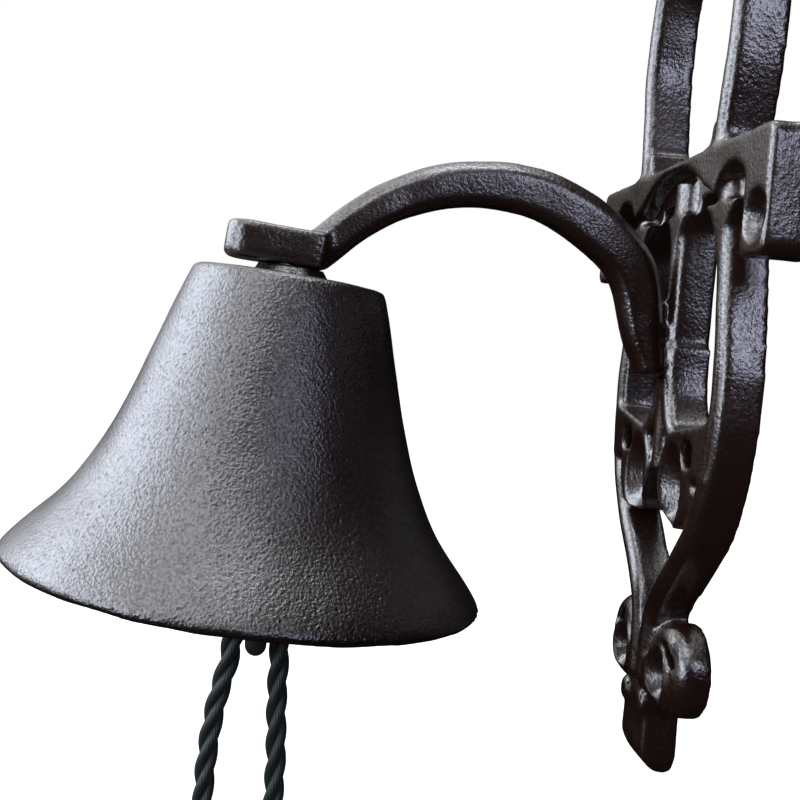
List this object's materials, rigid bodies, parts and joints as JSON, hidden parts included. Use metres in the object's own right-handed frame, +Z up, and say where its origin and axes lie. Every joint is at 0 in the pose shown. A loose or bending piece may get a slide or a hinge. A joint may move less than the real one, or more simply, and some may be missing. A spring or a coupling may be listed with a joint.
{
  "type": "cast iron wall bell",
  "caption": "Flared cast iron bell on a scrolled wall bracket, with a hanging clapper and a knotted pull rope.",
  "frame": {"origin": "on the wall face, midway between the two screw holes", "axes": "+Z up, -Y out from the wall, X along the wall; X = 0 is the mid plane"},
  "size_m": [0.113, 0.1583, 0.3032],
  "materials": {
    "bracket_iron": "sand cast, dark brown-black semi-gloss paint",
    "bell_iron": "sand cast, dark brown-black semi-gloss paint",
    "clapper_iron": "cast, dark paint",
    "steel_fittings": "zinc plated steel",
    "rope": "twisted three-strand cord, very dark green to black"
  },
  "bodies": {
    "bracket": {"wall_bracket": "bracket_iron", "bell": "bell_iron", "eye_bolt": "steel_fittings", "crown_washer": "steel_fittings"},
    "link": {"hanging_link": "steel_fittings"},
    "clapper": {"clapper": "clapper_iron", "pull_rope": "rope", "rope_knot": "rope"}
  },
  "joints": [
    {"name": "clapper_swing", "type": "hinge", "parent": "bracket", "child": "link", "pos_m": [0, -0.09975, -0.03432], "axis": [1, 0, 0], "range_deg": [-35, 26]},
    {"name": "clapper_sway", "type": "hinge", "parent": "link", "child": "clapper", "pos_m": [0, -0.09975, -0.04242], "axis": [0, 1, 0], "range_deg": [-11, 11]}
  ]
}
